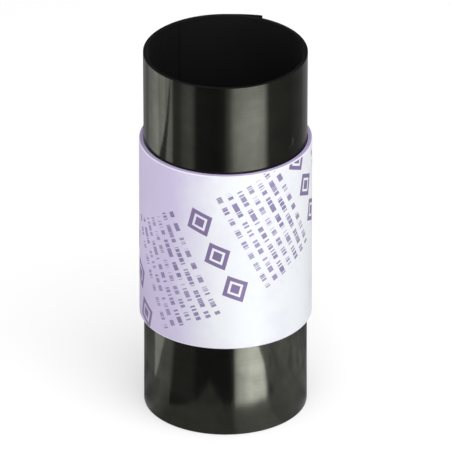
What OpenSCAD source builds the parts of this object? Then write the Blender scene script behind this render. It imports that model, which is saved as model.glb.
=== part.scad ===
// Roll of shim stock: a coiled steel strip that stands on end, held by a paperboard sleeve round its middle.
// The origin is at the centre of the bottom end. +Z runs up the bore.

/* [Strip] */
// Width of the strip, which is the height of the standing roll
strip_w = 152.4; // [100:0.1:305]
// Thickness of the strip
strip_t = 0.2; // [0.1:0.05:0.4]

/* [Coil] */
// Outside diameter of the coil
coil_od = 64; // [50:0.1:100]
// Whole laps in the coil's wall
laps = 6; // [3:1:12]
// Air gap between one lap and the next
lap_gap = 0.05; // [0.03:0.01:0.1]
// Depth to which the gaps between the laps are open at each end
gap_depth = 0.5; // [0.1:0.1:3]

/* [Outer free end] */
// Direction in which the outer free edge points, counted from +X
tail_angle = 65; // [0:1:359]
// Arc over which the outer end leaves the coil
tail_arc = 23; // [10:1:45]
// Distance that its two corners spring away from the coil
tail_lift = 2; // [0.6:0.1:4]
// Length beside the sleeve in which the free edge still lies flat
tail_hold = 2; // [0:0.5:10]

/* [Inner free end] */
// Direction in which the inner free edge points, counted from +X
inner_angle = 126; // [0:1:359]
// Arc over which the inner end stands proud in the bore
inner_arc = 60; // [20:1:80]

/* [Sleeve] */
// Length of the sleeve along the roll
sleeve_len = 76.2; // [30:0.1:95]
// Height of the sleeve's middle above the middle of the strip
sleeve_shift = 0.8; // [-20:0.1:20]
// Thickness of the sleeve's wall
sleeve_wall = 1.5; // [0.8:0.1:3]
// Clearance between the sleeve and the free edge that it holds down
sleeve_clearance = 0.1; // [0.05:0.05:0.5]
// Rounding of the sleeve's outer edges
sleeve_outer_round = 0.5; // [0.1:0.05:0.6]
// Rounding of the sleeve's inner edges
sleeve_inner_round = 0.2; // [0.05:0.05:0.3]

/* [Hidden] */
$fn = 128;

coil_r = coil_od / 2;
lap_pitch = strip_t + lap_gap;
coil_wall = laps * strip_t + (laps - 1) * lap_gap;
bore_r = coil_r - coil_wall;

// Height of the sleeve's lower edge
sleeve_z = (strip_w - sleeve_len) / 2 + sleeve_shift;

// The outer end starts this far proud of the coil, and its edge rests at this height inside the sleeve
tail_start = 0.15 * strip_t;
tail_rest = lap_pitch;
// Both free ends are sunk this far into the lap that carries them, until they lift clear
sink = 0.5 * strip_t;
// Depth of the inner end's own body in the first lap
inner_root = 0.9 * strip_t;
// Steps of the free ends along their arcs, and up each flared stretch
arc_steps = ceil(tail_arc / 3);
flare_steps = 8;
inner_steps = ceil(inner_arc / 3);
corner_steps = 5;
// How suddenly the outer end leaves the coil along its arc, and the free edge along its height
lift_power = 1.4;
flare_power = 1.6;

// The free edge is straight between these two heights and flares above and below them
hold_low = sleeve_z - tail_hold;
hold_high = sleeve_z + sleeve_len + tail_hold;
tail_heights = concat(
    [for (k = [0 : flare_steps]) hold_low * k / flare_steps],
    [for (k = [0 : flare_steps]) hold_high + (strip_w - hold_high) * k / flare_steps]
);
tail_rows = len(tail_heights);
tail_columns = arc_steps + 1;

sleeve_bore_r = coil_r + tail_rest + sleeve_clearance;

// Share of the corner's full lift that the free edge has at height z
function flare(z) =
    z < hold_low ? pow(1 - z / hold_low, flare_power) :
    z > hold_high ? pow((z - hold_high) / (strip_w - hold_high), flare_power) : 0;

// Offset of the outer end's outside face from the coil, at share s of its arc and height z
function tail_outside(s, z) =
    let (rise = tail_rest + (tail_lift - tail_rest) * flare(z))
    tail_start + (rise - tail_start) * pow(s, lift_power);

// Offset of its inside face, which never reaches the gap below the outer lap
function tail_inside(s, z) = max(tail_outside(s, z) - strip_t, -sink);

// Quarter round of a section's corner, from a start angle
function round_corner(centre, r, from) = [
    for (k = [0 : corner_steps])
        let (a = from + 90 * k / corner_steps)
        centre + r * [cos(a), sin(a)]
];

// Cross-section of the coil's wall: the gaps between the laps show as fine rings at both ends
module coil_section() {
    difference() {
        translate([bore_r, 0]) square([coil_wall, strip_w]);
        for (k = [1 : laps - 1], z = [0, strip_w - gap_depth])
            translate([bore_r + k * lap_pitch - lap_gap, z]) square([lap_gap, gap_depth]);
    }
}

// Outer free end: the last stretch of strip, pressed flat by the sleeve and sprung out at its two corners
module outer_end() {
    count = tail_rows * tail_columns;
    points = [
        for (inner = [false, true], z = tail_heights, j = [0 : arc_steps])
            let (
                s = j / arc_steps,
                a = tail_angle + tail_arc * (1 - s),
                r = coil_r + (inner ? tail_inside(s, z) : tail_outside(s, z))
            )
            [r * cos(a), r * sin(a), z]
    ];
    // Corners of the face between two rows and two columns, on the outside face
    corners = [
        for (i = [0 : tail_rows - 2], j = [0 : arc_steps - 1])
            let (p = i * tail_columns + j)
            [p, p + 1, p + 1 + tail_columns, p + tail_columns]
    ];
    // Points round the rim of the plate, in order
    rim = concat(
        [for (j = [0 : arc_steps]) j],
        [for (i = [1 : tail_rows - 1]) i * tail_columns + arc_steps],
        [for (j = [1 : arc_steps]) (tail_rows - 1) * tail_columns + arc_steps - j],
        [for (i = [1 : tail_rows - 2]) (tail_rows - 1 - i) * tail_columns]
    );
    polyhedron(
        points = points,
        faces = concat(
            [for (q = corners) [q[0], q[1], q[2]]],
            [for (q = corners) [q[0], q[2], q[3]]],
            [for (q = corners) [q[2] + count, q[1] + count, q[0] + count]],
            [for (q = corners) [q[3] + count, q[2] + count, q[0] + count]],
            [for (k = [0 : len(rim) - 1])
                let (a = rim[k], b = rim[(k + 1) % len(rim)]) [b, a, a + count]],
            [for (k = [0 : len(rim) - 1])
                let (a = rim[k], b = rim[(k + 1) % len(rim)]) [b, a + count, b + count]]
        ),
        convexity = 4
    );
}

// Inner free end: one thickness proud of the bore at its edge, running out into the first lap
module inner_end() {
    inside = [
        for (j = [0 : inner_steps])
            let (
                s = j / inner_steps,
                a = inner_angle - inner_arc * s,
                r = bore_r - strip_t + (strip_t + sink) * s
            )
            [r * cos(a), r * sin(a)]
    ];
    buried = [
        for (j = [inner_steps : -1 : 0])
            let (a = inner_angle - inner_arc * j / inner_steps)
            (bore_r + inner_root) * [cos(a), sin(a)]
    ];
    linear_extrude(height = strip_w) polygon(concat(inside, buried));
}

// Coiled strip, wound clockwise from the inside out as seen from above
module shim_coil() {
    color("#34352f") union() {
        rotate_extrude() coil_section();
        outer_end();
        inner_end();
    }
}

// Paperboard tube that slips over the coil and keeps it from springing open
module paper_sleeve() {
    in_r = sleeve_inner_round;
    out_r = sleeve_outer_round;
    sleeve_r = sleeve_bore_r + sleeve_wall;
    low = sleeve_z;
    high = sleeve_z + sleeve_len;
    color("#d9d3e8") rotate_extrude() polygon(concat(
        round_corner([sleeve_bore_r + in_r, low + in_r], in_r, 180),
        round_corner([sleeve_r - out_r, low + out_r], out_r, 270),
        round_corner([sleeve_r - out_r, high - out_r], out_r, 0),
        round_corner([sleeve_bore_r + in_r, high - in_r], in_r, 90)
    ));
}

shim_coil();
paper_sleeve();
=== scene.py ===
# Roll of shim stock standing on end: dark rolled steel strip, held by a printed paperboard sleeve.
import math
import bpy
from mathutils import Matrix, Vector


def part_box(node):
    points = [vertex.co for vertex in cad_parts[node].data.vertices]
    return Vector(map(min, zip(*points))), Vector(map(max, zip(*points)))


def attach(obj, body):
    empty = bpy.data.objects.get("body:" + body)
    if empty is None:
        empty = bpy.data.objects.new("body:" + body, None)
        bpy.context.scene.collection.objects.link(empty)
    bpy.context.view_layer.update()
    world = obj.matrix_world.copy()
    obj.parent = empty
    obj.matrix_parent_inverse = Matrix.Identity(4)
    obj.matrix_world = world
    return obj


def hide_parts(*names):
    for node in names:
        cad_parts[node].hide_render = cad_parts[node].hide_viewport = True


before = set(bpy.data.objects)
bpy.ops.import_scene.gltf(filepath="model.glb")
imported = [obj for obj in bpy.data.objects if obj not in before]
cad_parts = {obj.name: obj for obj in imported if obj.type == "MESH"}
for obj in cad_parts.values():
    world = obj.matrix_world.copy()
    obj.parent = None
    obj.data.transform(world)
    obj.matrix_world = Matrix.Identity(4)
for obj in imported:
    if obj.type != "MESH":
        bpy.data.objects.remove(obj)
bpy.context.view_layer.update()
mm = 0.001
noiseSpan = {"From Min": 0.3, "From Max": 0.7}  # noise seldom leaves it


def hexColour(text):
    # sRGB hex to the linear values that the shaders work in
    parts = [int(text[i:i + 2], 16) / 255 for i in (1, 3, 5)]
    linear = [c / 12.92 if c <= 0.04045 else ((c + 0.055) / 1.055) ** 2.4 for c in parts]
    return (*linear, 1)


def setInputs(tree, node, inputs):
    # another node's socket is linked, and a plain number or colour is set on the node's own socket
    for socket, value in inputs.items():
        if isinstance(value, bpy.types.NodeSocket):
            tree.links.new(value, node.inputs[socket])
        else:
            node.inputs[socket].default_value = value


def addNode(tree, kind, inputs=None, **settings):
    # a Mix node of colours has them in sockets 6 and 7, and its result in output 2
    node = tree.nodes.new(kind)
    for name, value in settings.items():
        setattr(node, name, value)
    setInputs(tree, node, inputs or {})
    return node


def azimuthShare(tree, place):
    # direction round the roll, from 0 to 1: 0.5 is the camera's side, and the seam is at the back
    turned = addNode(tree, "ShaderNodeMapping", {0: place, 2: (0, 0, math.pi / 2)})
    azimuth = addNode(tree, "ShaderNodeTexGradient", {0: turned.outputs[0]}, gradient_type="RADIAL")
    return azimuth.outputs["Fac"]


def startMaterial(name):
    material = bpy.data.materials.new(name)
    material.use_nodes = True
    tree = material.node_tree
    shader = tree.nodes["Principled BSDF"]
    return material, tree, shader


def selectVertices(piece, isWanted):
    # leaves the piece in edit mode with only the wanted vertices selected
    bpy.ops.object.mode_set(mode="EDIT")
    bpy.ops.mesh.select_mode(type="VERT")
    bpy.ops.mesh.select_all(action="DESELECT")
    bpy.ops.object.mode_set(mode="OBJECT")
    for vertex in piece.data.vertices:
        vertex.select = isWanted(vertex.co)
    bpy.ops.object.mode_set(mode="EDIT")


def applyPlace(piece):
    bpy.ops.object.select_all(action="DESELECT")
    piece.select_set(True)
    bpy.context.view_layer.objects.active = piece
    bpy.ops.object.transform_apply(location=True, rotation=True, scale=True)


# Steel strip, wound clockwise from the inside out as seen from above
strip = {
    "thickness": 0.2 * mm,
    "lapGap": 0.05 * mm,
    "wholeLaps": 6,
    "outerRadius": 32.15 * mm,
    "outerEdgeAngle": 65,  # degrees from +X, for both free edges
    "innerEdgeAngle": 126,
    "columnAngle": 2,  # degrees between two columns of faces
    "rows": 30,
    "endSpring": 0.1 * mm,  # by which the slit edges stand out, away from the sleeve's grip
    "tailArc": 23,  # degrees over which the outer end leaves the coil
    "tailLift": 1.85 * mm,  # of the outer end's two corners
    "liftPower": 1.4,
    "flarePower": 1.6,
    "heldBeside": 2 * mm,  # beside the sleeve, where the strip still lies flat
    "darkTone": "#2b2c28",
    "paleTone": "#3d3d38",
    "darkEdge": "#060606",
    "paleEdge": "#0e0e0d",
}


def flareShare(z, height, sleeveLow, sleeveHigh):
    # 0 where the sleeve holds the strip, 1 at its two slit edges
    low = sleeveLow - strip["heldBeside"]
    high = sleeveHigh + strip["heldBeside"]
    if z < low:
        return (1 - z / low) ** strip["flarePower"]
    if z > high:
        return ((z - high) / (height - high)) ** strip["flarePower"]
    return 0


def makeCoil():
    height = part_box("shim_coil")[1].z
    sleeveLow, sleeveHigh = (corner.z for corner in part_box("paper_sleeve"))
    pitch = strip["thickness"] + strip["lapGap"]
    turn = 360 * strip["wholeLaps"] + strip["innerEdgeAngle"] - strip["outerEdgeAngle"]
    meanRadius = strip["outerRadius"] - pitch * turn / 720
    length = meanRadius * math.radians(turn)

    # the strip lies flat first, as long as it is when wound
    bpy.ops.mesh.primitive_grid_add(x_subdivisions=round(turn / strip["columnAngle"]),
                                    y_subdivisions=strip["rows"], size=1)
    piece = bpy.context.object
    piece.name = "steelStripCoil"
    piece.scale = (length, height, 1)
    piece.rotation_euler = (math.pi / 2, 0, 0)
    piece.location = (0, 0, height / 2)
    applyPlace(piece)

    # its distance from the bending axis grows by one lap for each turn, and its outer end springs out
    for vertex in piece.data.vertices:
        wound = (0.5 - vertex.co.x / length) * turn
        flare = flareShare(vertex.co.z, height, sleeveLow, sleeveHigh)
        tailShare = max(0, 1 - (turn - wound) / strip["tailArc"])
        radius = strip["outerRadius"] - pitch * (turn - wound) / 360
        radius += strip["endSpring"] * flare
        radius += strip["tailLift"] * flare * tailShare ** strip["liftPower"]
        vertex.co.y = meanRadius - radius

    bend = piece.modifiers.new("wind", "SIMPLE_DEFORM")
    bend.deform_method = "BEND"
    bend.deform_axis = "Z"
    bend.angle = math.radians(turn)
    bpy.ops.object.modifier_apply(modifier=bend.name)

    # the bending axis goes to the origin, and the outer edge to its own angle
    piece.location = (0, -meanRadius, 0)
    applyPlace(piece)
    piece.rotation_euler = (0, 0, math.radians(strip["outerEdgeAngle"] + 90 + turn / 2))
    applyPlace(piece)

    # outer faces, slit edges and inner faces each take their own finish as the strip gets its thickness
    outerFaces = rolledSteelMaterial("cold rolled blued steel", length, height,
                                     oil=0.02, patchiness=1, isRubbed=True)
    innerFaces = rolledSteelMaterial("oily blued steel", length, height,
                                     oil=0.45, patchiness=0.1, isRubbed=False)
    for material in (outerFaces, slitEdgeMaterial(), innerFaces):
        piece.data.materials.append(material)
    wall = piece.modifiers.new("thickness", "SOLIDIFY")
    wall.thickness = strip["thickness"]
    wall.offset = -1
    wall.material_offset_rim = 1
    wall.material_offset = 2
    bpy.ops.object.modifier_apply(modifier=wall.name)
    bpy.ops.object.shade_smooth_by_angle(angle=math.radians(30))
    return piece


# Small curved rub mark above the sleeve, to the right
rubMark = {
    "centre": (25.2 * mm, -19.9 * mm, 122.7 * mm),
    "radius": 1.9 * mm,
    "halfWidth": 0.3 * mm,
    "facing": (0.52, 0.64, -0.56),  # from the centre to the middle of the half that shows
    "cutAt": 0.2 * mm,
    "grain": 1 * mm,
    "tone": "#6c6c64",
}


def addRubMark(tree, colour):
    # about one half of a ring, broken up by grain
    place = addNode(tree, "ShaderNodeTexCoord").outputs["Object"]
    fromMark = addNode(tree, "ShaderNodeVectorMath", {0: place, 1: rubMark["centre"]}, operation="SUBTRACT")
    distance = addNode(tree, "ShaderNodeVectorMath", {0: fromMark.outputs[0]}, operation="LENGTH")
    ring = addNode(tree, "ShaderNodeMath", {0: distance.outputs["Value"], 1: rubMark["radius"],
                                            2: rubMark["halfWidth"]}, operation="COMPARE")
    across = addNode(tree, "ShaderNodeVectorMath", {0: fromMark.outputs[0], 1: rubMark["facing"]},
                     operation="DOT_PRODUCT")
    isHalf = addNode(tree, "ShaderNodeMath", {0: across.outputs["Value"], 1: rubMark["cutAt"]},
                     operation="GREATER_THAN")
    arc = addNode(tree, "ShaderNodeMath", {0: ring.outputs[0], 1: isHalf.outputs[0]}, operation="MULTIPLY")
    grain = addNode(tree, "ShaderNodeTexNoise", {"Vector": place, "Scale": 1 / rubMark["grain"], "Detail": 1})
    strength = addNode(tree, "ShaderNodeMapRange", {0: grain.outputs[0], "From Min": 0.3, "From Max": 0.55})
    mark = addNode(tree, "ShaderNodeMath", {0: arc.outputs[0], 1: strength.outputs[0]}, operation="MULTIPLY")
    marked = addNode(tree, "ShaderNodeMix", {0: mark.outputs[0], 6: colour, 7: hexColour(rubMark["tone"])},
                     data_type="RGBA")
    return marked.outputs[2]


# Patterns on the strip: the size of each along and across it, and its detail
stripPatterns = {
    "lines": (60 * mm, 0.7 * mm, 2),  # from rolling: really about 0.05 mm apart, drawn wider to show
    "patches": (30 * mm, 18 * mm, 2),  # uneven blueing
    "smudges": (4 * mm, 6 * mm, 3),  # from handling
    "waves": (7 * mm, 160 * mm, 1),  # from winding: shallow, and they draw reflections out in streaks
}


def rolledSteelMaterial(name, length, height, oil, patchiness, isRubbed):
    # blued spring steel, cold rolled: dark and almost a mirror, with faint lines along the strip.
    # The inner faces keep more of the mill's oil, which gives the bore a faint even haze.
    material, tree, shader = startMaterial(name)
    uv = addNode(tree, "ShaderNodeUVMap", uv_map="UVMap").outputs[0]
    noise = {}
    for pattern, (along, across, detail) in stripPatterns.items():
        sized = addNode(tree, "ShaderNodeMapping", {0: uv, 3: (length / along, height / across, 1)})
        noise[pattern] = addNode(tree, "ShaderNodeTexNoise", {"Vector": sized.outputs[0], "Scale": 1,
                                                              "Detail": detail}).outputs[0]

    uneven = addNode(tree, "ShaderNodeMix", {0: 0.4, 2: noise["patches"], 3: noise["smudges"]})
    worn = addNode(tree, "ShaderNodeMix", {0: 0.25, 2: uneven.outputs[0], 3: noise["lines"]})
    share = addNode(tree, "ShaderNodeMapRange", {0: worn.outputs[0], **noiseSpan,
                                                 "To Min": 0.5 - patchiness / 2,
                                                 "To Max": 0.5 + patchiness / 2})
    tone = addNode(tree, "ShaderNodeMix", {0: share.outputs[0], 6: hexColour(strip["darkTone"]),
                                           7: hexColour(strip["paleTone"])}, data_type="RGBA")
    roughness = addNode(tree, "ShaderNodeMapRange", {0: noise["lines"], "To Min": 0.12, "To Max": 0.17})
    tangent = addNode(tree, "ShaderNodeTangent", direction_type="RADIAL", axis="Z")
    wavy = addNode(tree, "ShaderNodeBump", {"Height": noise["waves"], "Strength": 1, "Distance": 0.15 * mm})
    bump = addNode(tree, "ShaderNodeBump", {"Height": noise["lines"], "Strength": 1,
                                            "Distance": 0.001 * mm, "Normal": wavy.outputs[0]})
    setInputs(tree, shader, {
        "Base Color": addRubMark(tree, tone.outputs[2]) if isRubbed else tone.outputs[2],
        "Metallic": 1,
        "Roughness": roughness.outputs[0],
        "Anisotropic": 0.5,
        "Anisotropic Rotation": 0.25,
        "Tangent": tangent.outputs[0],
        "Specular Tint": (0.6, 0.6, 0.6, 1),  # the oxide takes some of the glare off the sides
        "Coat Weight": oil,
        "Coat Roughness": 0.7,
        "Normal": bump.outputs[0],
    })
    return material


def slitEdgeMaterial():
    # the slit edges are black with scale and dull, so the wall's end hardly shows
    material, tree, shader = startMaterial("slit blued steel edge")
    place = addNode(tree, "ShaderNodeTexCoord").outputs["Object"]
    # the shear leaves marks about 0.3 mm apart
    marks = addNode(tree, "ShaderNodeTexNoise", {"Vector": place, "Scale": 1 / (0.3 * mm), "Detail": 2})
    tone = addNode(tree, "ShaderNodeMix", {0: marks.outputs[0], 6: hexColour(strip["darkEdge"]),
                                           7: hexColour(strip["paleEdge"])}, data_type="RGBA")
    setInputs(tree, shader, {"Base Color": tone.outputs[2], "Specular IOR Level": 0.03, "Roughness": 0.6})
    return material


# Paperboard sleeve, wound from plies
sleeve = {
    "wall": 1.67 * mm,
    "outerRound": 0.5 * mm,
    "innerRound": 0.1 * mm,
    "plies": 4,
    "plyNotch": 0.06 * mm,
    "steps": 240,  # round the roll
    "darkBoard": "#a499bd",
    "paleBoard": "#beb4d3",
}


def makeSleeve():
    low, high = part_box("paper_sleeve")
    radius = (high.x - low.x) / 2
    boreRadius = radius - sleeve["wall"]
    middle = radius - sleeve["wall"] / 2
    touching = 0.001 * mm

    # cross-section of the wall, spun round the roll's axis
    bpy.ops.mesh.primitive_plane_add(size=1)
    piece = bpy.context.object
    piece.name = "paperboardSleeve"
    piece.scale = (sleeve["wall"], high.z - low.z, 1)
    piece.rotation_euler = (math.pi / 2, 0, 0)
    piece.location = (middle, 0, (low.z + high.z) / 2)
    applyPlace(piece)
    selectVertices(piece, lambda co: co.x > middle)
    bpy.ops.mesh.bevel(offset=sleeve["outerRound"], segments=5, affect="VERTICES")
    selectVertices(piece, lambda co: co.x < boreRadius + touching)
    bpy.ops.mesh.bevel(offset=sleeve["innerRound"], segments=3, affect="VERTICES")

    # the plies show as fine notches on both cut ends
    for end, inwards in ((low.z, 1), (high.z, -1)):
        selectVertices(piece, lambda co: abs(co.z - end) < touching)
        bpy.ops.mesh.subdivide(number_cuts=2 * sleeve["plies"] - 1)
        bpy.ops.object.mode_set(mode="OBJECT")
        across = sorted(v.co.x for v in piece.data.vertices if abs(v.co.z - end) < touching)
        joints = across[1:-1][::2]
        selectVertices(piece, lambda co: (abs(co.z - end) < touching
                                          and min(abs(co.x - x) for x in joints) < touching))
        bpy.ops.transform.translate(value=(0, 0, inwards * sleeve["plyNotch"]))
    bpy.ops.mesh.select_mode(type="EDGE")
    bpy.ops.mesh.select_all(action="SELECT")
    bpy.ops.mesh.delete(type="ONLY_FACE")
    bpy.ops.mesh.select_all(action="SELECT")
    bpy.ops.mesh.spin(steps=sleeve["steps"], angle=2 * math.pi, center=(0, 0, 0), axis=(0, 0, 1))
    bpy.ops.mesh.select_all(action="SELECT")
    bpy.ops.mesh.remove_doubles(threshold=2 * touching)
    bpy.ops.mesh.normals_make_consistent(inside=False)
    bpy.ops.object.mode_set(mode="OBJECT")
    bpy.ops.object.shade_smooth_by_angle(angle=math.radians(35))

    # the paper covers the outside and goes part of the way round its rounded edges
    piece.data.materials.append(printedPaperMaterial(radius, low.z, high.z))
    piece.data.materials.append(boardEndMaterial())
    for face in piece.data.polygons:
        distance = math.hypot(face.center.x, face.center.y)
        isPaper = distance > radius - sleeve["outerRound"] and abs(face.normal.z) < 0.75
        face.material_index = 0 if isPaper else 1
    return piece


# Print on the sleeve, in millimetres along and across its slanting rows: generic strokes and lozenges
printing = {
    "rowAngle": 64,  # degrees by which the rows slant
    "shiftAlong": 4,
    "shiftAcross": -8,
    "lanes": 4,  # round the sleeve
    "rows": 7,
    "rowPitch": 4.2,
    "rowGap": 2.1,
    "rowLength": 46,
    "wordLength": 9.5,
    "strokePitch": 0.75,
    "strokeCut": 0.44,  # noise above this is inked
    "lozenge": 11.5,
    "lozengePitch": 16,
    "lozengeShift": -0.5,
    # mm, the width of the painted highlight along each edge
    "highlightBand": 0.6,
    "paper": "#f6f9fd",
    # the paper's cloudy tint, and the lavender of the painted shade on its -X side
    "tintAndShadePaper": "#ddd3f3",
    # the paper's colour in the painted highlight along both edges
    "edgeHighlightPaper": "#f4f0ff",
    "strokeInk": "#a79ec0",
    "heavyInk": "#8f84ab",
    "boldInk": "#86769f",
}


def printCells(tree, place, height, radius, middleHeight):
    # millimetres along and across the rows, repeated so that the print meets itself after one turn
    girth = 2 * math.pi * radius / mm
    slant = math.radians(printing["rowAngle"])
    middle = (0.5 * girth, middleHeight / mm)
    start = (printing["shiftAlong"] - middle[0] * math.cos(slant) + middle[1] * math.sin(slant),
             printing["shiftAcross"] - middle[0] * math.sin(slant) - middle[1] * math.cos(slant), 0)
    unrolled = addNode(tree, "ShaderNodeCombineXYZ", {0: azimuthShare(tree, place), 1: height})
    rows = addNode(tree, "ShaderNodeMapping", {0: unrolled.outputs[0], 1: start, 2: (0, 0, slant),
                                               3: (girth, 1 / mm, 1)})
    laneLength = girth * math.cos(slant)
    laneWidth = girth * math.sin(slant) / printing["lanes"]
    cell = addNode(tree, "ShaderNodeVectorMath", {0: rows.outputs[0], 1: (laneLength / 2, laneWidth, 1),
                                                  2: (-laneLength / 2, 0, 0)}, operation="WRAP")
    return cell.outputs[0], laneWidth


def printStrokes(tree, cell, fromMiddle, blockWidth):
    # rows of upright strokes of uneven width, in groups. The brick texture takes no mortar wider than
    # 0.125, so its own sizes are all a tenth.
    tenth = 0.1
    words = addNode(tree, "ShaderNodeTexBrick",
                    {"Vector": cell, "Color1": hexColour(printing["strokeInk"]),
                     "Color2": hexColour(printing["heavyInk"]), "Scale": tenth,
                     "Mortar Size": printing["rowGap"] / 2 * tenth, "Mortar Smooth": 0,
                     "Brick Width": printing["wordLength"] * tenth,
                     "Row Height": printing["rowPitch"] * tenth},
                    offset=0.4, offset_frequency=2, squash=0.6, squash_frequency=3)
    inRow = addNode(tree, "ShaderNodeVectorMath", {0: cell, 1: (0.01, printing["rowPitch"], 1)},
                    operation="SNAP")
    marks = addNode(tree, "ShaderNodeTexNoise", {"Vector": inRow.outputs[0], "Detail": 0,
                                                 "Scale": 1 / printing["strokePitch"]})
    isMark = addNode(tree, "ShaderNodeMath", {0: marks.outputs[0], 1: printing["strokeCut"]},
                     operation="GREATER_THAN")
    across = addNode(tree, "ShaderNodeSeparateXYZ", {0: cell}).outputs["Y"]
    inLength = addNode(tree, "ShaderNodeMath", {0: fromMiddle, 1: printing["rowLength"] / 2},
                       operation="LESS_THAN")
    inBlock = addNode(tree, "ShaderNodeMath", {0: across, 1: blockWidth}, operation="LESS_THAN")
    inWord = addNode(tree, "ShaderNodeMath", {0: 1, 1: words.outputs["Fac"]}, operation="SUBTRACT")
    strokes = inWord.outputs[0]
    for part in (isMark, inLength, inBlock):
        strokes = addNode(tree, "ShaderNodeMath", {0: strokes, 1: part.outputs[0]},
                          operation="MULTIPLY").outputs[0]
    return strokes, words.outputs["Color"]


def printLozenges(tree, cell, fromMiddle, laneMiddle):
    # three bold lozenges in a chain along the lane that the rows leave free
    pitch = printing["lozengePitch"]
    wide = 100  # mm, past the lane's sides, so that the chain repeats along its lane only
    inLane = addNode(tree, "ShaderNodeVectorMath", {0: cell, 1: (0, laneMiddle, 0)}, operation="SUBTRACT")
    chain = addNode(tree, "ShaderNodeVectorMath", {0: inLane.outputs[0], 1: (pitch / 2, wide, 1),
                                                   2: (-pitch / 2, -wide, 0)}, operation="WRAP")
    mirrored = addNode(tree, "ShaderNodeVectorMath", {0: chain.outputs[0]}, operation="ABSOLUTE")
    slope = (1.7 / printing["lozenge"], 2 / printing["lozenge"], 0)
    outwards = addNode(tree, "ShaderNodeVectorMath", {0: mirrored.outputs[0], 1: slope},
                       operation="DOT_PRODUCT")
    # from its centre outwards: a bold heart, a bare ring, a bold ring, and bare from its outline on
    rings = addNode(tree, "ShaderNodeValToRGB", {0: outwards.outputs["Value"]})
    rings.color_ramp.interpolation = "CONSTANT"
    for position, level in ((0.40, 0), (0.62, 1), (0.99, 0)):
        rings.color_ramp.elements.new(position).color = (level, level, level, 1)
    rings.color_ramp.elements[0].color = (1, 1, 1, 1)
    rings.color_ramp.elements[-1].color = (0, 0, 0, 1)
    inChain = addNode(tree, "ShaderNodeMath", {0: fromMiddle, 1: 1.5 * pitch}, operation="LESS_THAN")
    lozenges = addNode(tree, "ShaderNodeMath", {0: rings.outputs[0], 1: inChain.outputs[0]},
                       operation="MULTIPLY")
    return lozenges.outputs[0]


def printedPaperMaterial(radius, low, high):
    # white coated paper, offset printed in purple and wrapped round the board: soft, with a faint gloss
    material, tree, shader = startMaterial("offset printed coated paper")
    place = addNode(tree, "ShaderNodeTexCoord").outputs["Object"]
    xyz = addNode(tree, "ShaderNodeSeparateXYZ", {0: place}).outputs
    middleHeight = (low + high) / 2

    cell, laneWidth = printCells(tree, place, xyz["Z"], radius, middleHeight)
    along = addNode(tree, "ShaderNodeSeparateXYZ", {0: cell}).outputs["X"]
    fromMiddle = addNode(tree, "ShaderNodeMath", {0: along}, operation="ABSOLUTE").outputs[0]
    blockWidth = printing["rows"] * printing["rowPitch"]
    strokes, strokeColour = printStrokes(tree, cell, fromMiddle, blockWidth)
    laneMiddle = (blockWidth + laneWidth) / 2 + printing["lozengeShift"]
    lozenges = printLozenges(tree, cell, fromMiddle, laneMiddle)

    # the paper's tint is cloudy, in patches of 20 mm down to about 1 mm, and a painted shade makes it a
    # darker lavender towards -X
    cloud = addNode(tree, "ShaderNodeTexNoise", {"Vector": place, "Scale": 1 / (20 * mm), "Detail": 4,
                                                 "Roughness": 0.7})
    side = addNode(tree, "ShaderNodeMapRange", {0: xyz["X"], "From Min": -0.1 * radius,
                                                "From Max": -0.7 * radius, "To Min": -0.45, "To Max": 0.65})
    tintAndPaintedShade = addNode(tree, "ShaderNodeMath", {0: side.outputs[0], 1: cloud.outputs[0]},
                     operation="ADD", use_clamp=True)
    # a painted highlight turns the paper a pale lavender-white along both edges
    fromCentre = addNode(tree, "ShaderNodeMath", {0: xyz["Z"], 1: middleHeight}, operation="SUBTRACT")
    reach = addNode(tree, "ShaderNodeMath", {0: fromCentre.outputs[0]}, operation="ABSOLUTE")
    edge = (high - low) / 2 - printing["highlightBand"] * mm
    paintedEdgeHighlight = addNode(tree, "ShaderNodeMapRange", {0: reach.outputs[0], "From Min": edge - 0.1 * mm,
                                                   "From Max": edge + 0.1 * mm})
    colour = hexColour(printing["paper"])
    for share, layer in ((tintAndPaintedShade.outputs[0], hexColour(printing["tintAndShadePaper"])),
                         (strokes, strokeColour),
                         (lozenges, hexColour(printing["boldInk"])),
                         (paintedEdgeHighlight.outputs[0], hexColour(printing["edgeHighlightPaper"]))):
        colour = addNode(tree, "ShaderNodeMix", {0: share, 6: colour, 7: layer}, data_type="RGBA").outputs[2]

    # fibres of about 0.4 mm show faintly through the coating
    fibres = addNode(tree, "ShaderNodeTexNoise", {"Vector": place, "Scale": 1 / (0.4 * mm), "Detail": 3})
    bump = addNode(tree, "ShaderNodeBump", {"Height": fibres.outputs[0], "Strength": 1,
                                            "Distance": 0.006 * mm})
    roughness = addNode(tree, "ShaderNodeMapRange", {0: fibres.outputs[0], "To Min": 0.45, "To Max": 0.65})
    setInputs(tree, shader, {"Base Color": colour, "Roughness": roughness.outputs[0],
                             "Specular IOR Level": 0.2, "Normal": bump.outputs[0]})
    return material


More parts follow.
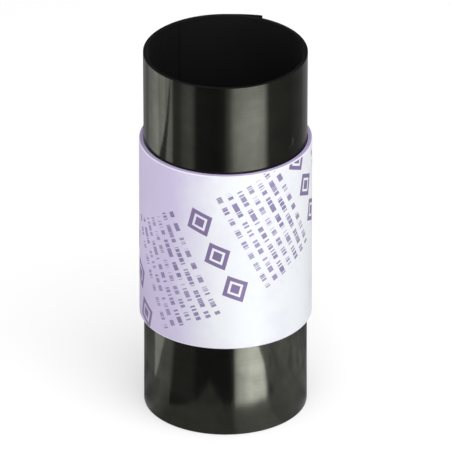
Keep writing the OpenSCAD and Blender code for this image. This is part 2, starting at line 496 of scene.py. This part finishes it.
def boardEndMaterial():
    # grey chipboard, cut square: dull and fibrous, with its plies showing as fine rings
    material, tree, shader = startMaterial("cut grey chipboard")
    place = addNode(tree, "ShaderNodeTexCoord").outputs["Object"]
    flat = addNode(tree, "ShaderNodeVectorMath", {0: place, 1: (1, 1, 0)}, operation="MULTIPLY")
    distance = addNode(tree, "ShaderNodeVectorMath", {0: flat.outputs[0]}, operation="LENGTH")
    # plies about 0.4 mm thick, and fibres of about 0.5 mm
    rings = addNode(tree, "ShaderNodeTexNoise", {"W": distance.outputs["Value"], "Scale": 1 / (0.4 * mm),
                                                 "Detail": 1}, noise_dimensions="1D")
    fibres = addNode(tree, "ShaderNodeTexNoise", {"Vector": place, "Scale": 1 / (0.5 * mm), "Detail": 3})
    blend = addNode(tree, "ShaderNodeMix", {0: 0.5, 2: rings.outputs[0], 3: fibres.outputs[0]})
    tone = addNode(tree, "ShaderNodeMix", {0: blend.outputs[0], 6: hexColour(sleeve["darkBoard"]),
                                           7: hexColour(sleeve["paleBoard"])}, data_type="RGBA")
    bump = addNode(tree, "ShaderNodeBump", {"Height": fibres.outputs[0], "Strength": 1,
                                            "Distance": 0.03 * mm})
    setInputs(tree, shader, {"Base Color": tone.outputs[2], "Roughness": 0.85,
                             "Specular IOR Level": 0.2, "Normal": bump.outputs[0]})
    return material


# Camera, at the photograph's angle
view = {
    "elevation": 27.8,
    "distance": 5.0,
    "lens": 1021,
    "aim": (-0.00024, 0, 0.07602),
}
camera = bpy.data.objects.new("camera", bpy.data.cameras.new("camera"))
camera.data.lens = view["lens"]
camera.data.sensor_width = 36
tilt = math.radians(view["elevation"])
camera.location = Vector(view["aim"]) + view["distance"] * Vector((0, -math.cos(tilt), math.sin(tilt)))
camera.rotation_euler = (math.pi / 2 - tilt, 0, 0)
camera.data.clip_start = 0.1
camera.data.clip_end = 50
bpy.context.scene.collection.objects.link(camera)
bpy.context.scene.camera = camera
bpy.context.scene.view_settings.view_transform = "Standard"
print("camera placed")

coilPiece = makeCoil()
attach(coilPiece, "root")
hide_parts("shim_coil")
print("coil wound:", len(coilPiece.data.polygons), "faces")

sleevePiece = makeSleeve()
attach(sleevePiece, "root")
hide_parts("paper_sleeve")
print("sleeve made:", len(sleevePiece.data.polygons), "faces")

# Floor, surroundings and lamps. The first two look white to the eye and in gloss, and light the roll at
# the plain levels given here. A lamp's azimuth is counted from the camera's side towards +X.
studio = {
    "floorRadius": 5,
    "floorDrop": 0.2 * mm,
    "floorColour": "#d6d6d6",
    "floorGlow": 0.38,
    "worldLevel": 0.36,
    "lampTarget": 76 * mm,
    "lamps": {
        "keySoftbox": {"azimuth": 28, "elevation": 42, "distance": 1.5,
                       "width": 2.9, "height": 1.1, "radiance": 1.8},
        "topSoftbox": {"azimuth": 0, "elevation": 80, "distance": 1.6,
                       "width": 1.4, "height": 1.4, "radiance": 2.1},
    },
}


def seenShare(tree):
    # 1 where the eye sees it, straight, in gloss or through glass, and 0 where it only gives light
    rays = addNode(tree, "ShaderNodeLightPath").outputs
    seen = rays["Is Camera Ray"]
    for kind in ("Is Glossy Ray", "Is Transmission Ray"):
        seen = addNode(tree, "ShaderNodeMath", {0: seen, 1: rays[kind]}, operation="ADD").outputs[0]
    return seen


def makeFloor():
    bpy.ops.mesh.primitive_circle_add(vertices=96, radius=studio["floorRadius"], fill_type="NGON",
                                      location=(0, 0, -studio["floorDrop"]))
    floor = bpy.context.object
    floor.name = "floor"
    material, tree, shader = startMaterial("matt white studio floor")
    glow = addNode(tree, "ShaderNodeMath", {0: seenShare(tree), 1: studio["floorGlow"]},
                   operation="MULTIPLY")
    setInputs(tree, shader, {"Base Color": hexColour(studio["floorColour"]), "Roughness": 0.9,
                             "Specular IOR Level": 0, "Emission Color": (1, 1, 1, 1),
                             "Emission Strength": glow.outputs[0]})
    floor.data.materials.append(material)


def lightWorld():
    world = bpy.data.worlds.new("studio")
    world.use_nodes = True
    tree = world.node_tree
    level = addNode(tree, "ShaderNodeMapRange", {0: seenShare(tree), "To Min": studio["worldLevel"]})
    setInputs(tree, tree.nodes["Background"], {"Color": (1, 1, 1, 1), "Strength": level.outputs[0]})
    bpy.context.scene.world = world


def addLamp(name, azimuth, elevation, distance, width, height, radiance):
    light = bpy.data.lights.new(name, "AREA")
    light.shape = "RECTANGLE"
    light.size = width
    light.size_y = height
    light.energy = radiance * math.pi * width * height
    lamp = bpy.data.objects.new(name, light)
    a, e = math.radians(azimuth), math.radians(elevation)
    aim = Vector((math.sin(a) * math.cos(e), -math.cos(a) * math.cos(e), math.sin(e)))
    lamp.location = Vector((0, 0, studio["lampTarget"])) + aim * distance
    lamp.rotation_euler = aim.to_track_quat("Z", "Y").to_euler()
    lamp.visible_camera = False
    bpy.context.scene.collection.objects.link(lamp)


# Reflection cards: a screen round the roll and one on the floor inside it, which only gloss sees.
# Each pair is an angle, counted from the camera's side towards +X, and how bright the card is there.
cards = {
    "radius": 57 * mm,
    "height": 160 * mm,
    "joinHeight": 50 * mm,
    "spread": 4.5,  # per metre of height, by which the lower windows draw together upwards
    "streakyUpTo": -57.6,
    "streaks": (3 * mm, 3 * mm, 90 * mm),
    "mottledFrom": 46.8,
    "mottle": 7 * mm,
    "dimmerAside": (72, 90),  # degrees where the floor card starts to dim, and where it has done so
    "dimmerInside": (49 * mm, 35 * mm),
    "dimming": 0.75,
    "cardLift": 0.02 * mm,  # above the floor
    "panelLift": 0.04 * mm,
    "panelGap": 1 * mm,  # in front of the screen
    "upper": [(-170, 2), (-150, 0.1), (-136, 0.1), (-123, 0.6), (-112, 0.6), (-97, 2.6), (-89, 3.4),
              (-85.5, 5), (-81.5, 3.3), (-73, 3.6), (-66, 3.1), (-60, 2.4), (-57.5, 0.42), (-50, 0.5),
              (-45, 0.98), (-36, 1.25), (-30.5, 0.22), (-8, 0.14), (-1, 0.25), (4, 1.1), (9, 3.1),
              (15, 4.3), (30, 5.3), (39.5, 4.8), (43.3, 2), (46.3, 0.5), (76, 0.38), (90, 0.54),
              (101, 0.6), (112, 0.8), (150, 0.15), (170, 2)],
    "lower": [(-170, 2), (-150, 0.2), (-126, 0.3), (-112, 0.58), (-100, 1.1), (-82, 1.5), (-68, 1.5),
              (-64, 1.2), (-61, 0.35), (-38, 0.36), (-31, 0.17), (4, 0.13), (9, 0.4), (11, 4.8),
              (15, 7.8), (28, 11.8), (41.5, 11), (44.6, 4.6), (47, 1.5), (90, 1.5), (104, 1.3),
              (112, 0.85), (120, 0.35), (150, 0.1), (170, 1.5)],
    "floor": [(-150, 0.2), (-112, 0.26), (-100, 0.85), (-84, 0.97), (-74, 1.3), (-66, 1.05),
              (-60, 0.85), (-53, 0.66), (-10, 0.65), (6, 0.58), (10, 1.2), (44, 1.5), (47, 1.1),
              (60, 1.2), (82, 1.35), (100, 1.05), (112, 0.45), (150, 0.15)],
}

# Smaller cards in front of them. Each side is a row of pairs: an angle, and the height on the screen,
# or the distance out on the floor, in millimetres.
panels = {
    "leaningFlag": {
        "level": 0.5,
        "oneSide": [(-60.8, 140), (-63.2, 133), (-66.5, 121), (-72, 112), (-78.5, 103), (-93, 84)],
        "otherSide": [(-60.3, 140), (-61.4, 133), (-63.2, 121), (-65.3, 112), (-68, 103), (-74, 84)],
    },
    "wedgeCard": {
        "level": 4.2,
        "oneSide": [(-89.7, 30), (-89.7, 14), (-89.7, 5.5), (-89.7, 0)],
        "otherSide": [(-66, 30), (-76.5, 14), (-83.3, 5.5), (-89, 0)],
    },
    "curtain": {
        "level": 1.7,
        "oneSide": [(32, 28), (35.7, 22.5), (40.3, 16), (43, 9)],
        "otherSide": [(46, 28), (46, 22.5), (46, 16), (46, 9)],
    },
    "bandFoot": {
        "level": 3.2,
        "oneSide": [(10, 57), (10, 53.5)],
        "otherSide": [(36, 57), (30, 53.5)],
        "onFloor": True,
    },
    "peakCard": {
        "level": 0.5,
        "oneSide": [(-31, 0), (-16.5, 10)],
        "otherSide": [(-1, 0), (-15.5, 10)],
    },
    "darkFloorCard": {
        "level": 0.2,
        "oneSide": [(-63, 56.5), (-58, 45)],
        "otherSide": [(-33, 56.5), (-36, 53)],
        "onFloor": True,
    },
    "softSpot": {
        "level": 0.75,
        "oneSide": [(46.5, 0), (46.5, 7)],
        "otherSide": [(54, 0), (51, 7)],
    },
}


def asShare(angle):
    return 0.5 + angle / 360


def startLight(name):
    material = bpy.data.materials.new(name)
    material.use_nodes = True
    material.node_tree.nodes.clear()
    material.cycles.emission_sampling = "NONE"
    return material, material.node_tree


def finishCard(card, material, inputs):
    # the card sends out its light, and only gloss sees it
    tree = material.node_tree
    light = addNode(tree, "ShaderNodeEmission", inputs)
    addNode(tree, "ShaderNodeOutputMaterial", {0: light.outputs[0]})
    card.data.materials.append(material)
    card.visible_camera = False
    card.visible_diffuse = False
    card.visible_transmission = False
    card.visible_volume_scatter = False
    card.visible_shadow = False


def windowRamp(tree, windows, share, brightest):
    ramp = addNode(tree, "ShaderNodeValToRGB", {0: share})
    stops = ramp.color_ramp.elements
    for angle, level in windows[1:-1]:
        stops.new(asShare(angle))
    for stop, (angle, level) in zip(stops, windows):
        stop.position = asShare(angle)
        stop.color = (level / brightest, level / brightest, level / brightest, 1)
    return ramp.outputs[0]


def makeScreen():
    bpy.ops.mesh.primitive_cylinder_add(vertices=128, radius=cards["radius"], depth=cards["height"],
                                        end_fill_type="NOTHING", location=(0, 0, cards["height"] / 2))
    screen = bpy.context.object
    screen.name = "reflectionScreen"
    applyPlace(screen)
    material, tree = startLight("lit and black card")
    place = addNode(tree, "ShaderNodeTexCoord").outputs["Object"]
    height = addNode(tree, "ShaderNodeSeparateXYZ", {0: place}).outputs["Z"]
    azimuth = azimuthShare(tree, place)
    brightest = max(level for _, level in cards["upper"] + cards["lower"])

    # the upper part is streaky to the left
    upper = windowRamp(tree, cards["upper"], azimuth, brightest)
    thin = tuple(1 / size for size in cards["streaks"])
    streakMap = addNode(tree, "ShaderNodeMapping", {0: place, 3: thin})
    streaks = addNode(tree, "ShaderNodeTexNoise", {"Vector": streakMap.outputs[0], "Scale": 1, "Detail": 1})
    streaky = addNode(tree, "ShaderNodeMapRange", {0: streaks.outputs[0], **noiseSpan,
                                                   "To Min": 0.75, "To Max": 1.25})
    isLeft = addNode(tree, "ShaderNodeMath", {0: azimuth, 1: asShare(cards["streakyUpTo"])},
                     operation="LESS_THAN")
    streak = addNode(tree, "ShaderNodeMix", {0: isLeft.outputs[0], 2: 1, 3: streaky.outputs[0]})
    streaked = addNode(tree, "ShaderNodeVectorMath", {0: upper, 1: streak.outputs[0]}, operation="MULTIPLY")

    # in the lower part the windows draw together upwards, and to their right the card is mottled
    spread = addNode(tree, "ShaderNodeMath", {0: height, 1: cards["spread"], 2: 1},
                     operation="MULTIPLY_ADD")
    fromFront = addNode(tree, "ShaderNodeMath", {0: azimuth, 1: 0.5}, operation="SUBTRACT")
    drawn = addNode(tree, "ShaderNodeMath", {0: fromFront.outputs[0], 1: spread.outputs[0], 2: 0.5},
                    operation="MULTIPLY_ADD")
    lower = windowRamp(tree, cards["lower"], drawn.outputs[0], brightest)
    cloud = addNode(tree, "ShaderNodeTexNoise", {"Vector": place, "Scale": 1 / cards["mottle"], "Detail": 3})
    cloudy = addNode(tree, "ShaderNodeMapRange", {0: cloud.outputs[0], **noiseSpan,
                                                  "To Min": 0.6, "To Max": 1.4})
    isRight = addNode(tree, "ShaderNodeMath", {0: azimuth, 1: asShare(cards["mottledFrom"])},
                      operation="GREATER_THAN")
    mottle = addNode(tree, "ShaderNodeMix", {0: isRight.outputs[0], 2: 1, 3: cloudy.outputs[0]})
    mottled = addNode(tree, "ShaderNodeVectorMath", {0: lower, 1: mottle.outputs[0]}, operation="MULTIPLY")

    isUpper = addNode(tree, "ShaderNodeMath", {0: height, 1: cards["joinHeight"]}, operation="GREATER_THAN")
    mixed = addNode(tree, "ShaderNodeMix", {0: isUpper.outputs[0], 6: mottled.outputs[0],
                                            7: streaked.outputs[0]}, data_type="RGBA")
    finishCard(screen, material, {"Color": mixed.outputs[2], "Strength": brightest})


def makeFloorCard():
    bpy.ops.mesh.primitive_circle_add(vertices=128, radius=cards["radius"], fill_type="NGON",
                                      location=(0, 0, cards["cardLift"]))
    card = bpy.context.object
    card.name = "floorCard"
    applyPlace(card)
    material, tree = startLight("dim floor card")
    place = addNode(tree, "ShaderNodeTexCoord").outputs["Object"]
    azimuth = azimuthShare(tree, place)
    brightest = max(level for _, level in cards["floor"])
    levels = windowRamp(tree, cards["floor"], azimuth, brightest)

    # close beside the roll it is dimmer, since gloss grows towards the roll's outline
    fromFront = addNode(tree, "ShaderNodeMath", {0: azimuth, 1: 0.5}, operation="SUBTRACT")
    aside = addNode(tree, "ShaderNodeMath", {0: fromFront.outputs[0]}, operation="ABSOLUTE")
    start, full = (angle / 360 for angle in cards["dimmerAside"])
    beside = addNode(tree, "ShaderNodeMapRange", {0: aside.outputs[0], "From Min": start, "From Max": full})
    distance = addNode(tree, "ShaderNodeVectorMath", {0: place}, operation="LENGTH")
    outer, inner = cards["dimmerInside"]
    close = addNode(tree, "ShaderNodeMapRange", {0: distance.outputs["Value"], "From Min": outer,
                                                 "From Max": inner, "To Max": cards["dimming"]})
    dimming = addNode(tree, "ShaderNodeMath", {0: beside.outputs[0], 1: close.outputs[0]},
                      operation="MULTIPLY")
    left = addNode(tree, "ShaderNodeMath", {0: 1, 1: dimming.outputs[0]}, operation="SUBTRACT")
    dimmed = addNode(tree, "ShaderNodeVectorMath", {0: levels, 1: left.outputs[0]}, operation="MULTIPLY")
    finishCard(card, material, {"Color": dimmed.outputs[0], "Strength": brightest})


def makePanel(name, level, oneSide, otherSide, onFloor=False):
    steps = len(oneSide) - 1
    bpy.ops.mesh.primitive_grid_add(x_subdivisions=12, y_subdivisions=steps, size=1)
    panel = bpy.context.object
    panel.name = name
    for vertex in panel.data.vertices:
        across = vertex.co.x + 0.5
        step = round((vertex.co.y + 0.5) * steps)
        (a0, b0), (a1, b1) = oneSide[step], otherSide[step]
        angle = math.radians(a0 + (a1 - a0) * across)
        reach = (b0 + (b1 - b0) * across) * mm
        radius = reach if onFloor else cards["radius"] - cards["panelGap"]
        height = cards["panelLift"] if onFloor else reach
        vertex.co = (radius * math.sin(angle), -radius * math.cos(angle), height)
    material, _ = startLight(name + "Light")
    finishCard(panel, material, {"Strength": level})


makeFloor()
lightWorld()
for name, lamp in studio["lamps"].items():
    addLamp(name, **lamp)
makeScreen()
makeFloorCard()
for name, panel in panels.items():
    makePanel(name, **panel)
print("floor, lamps and cards placed")
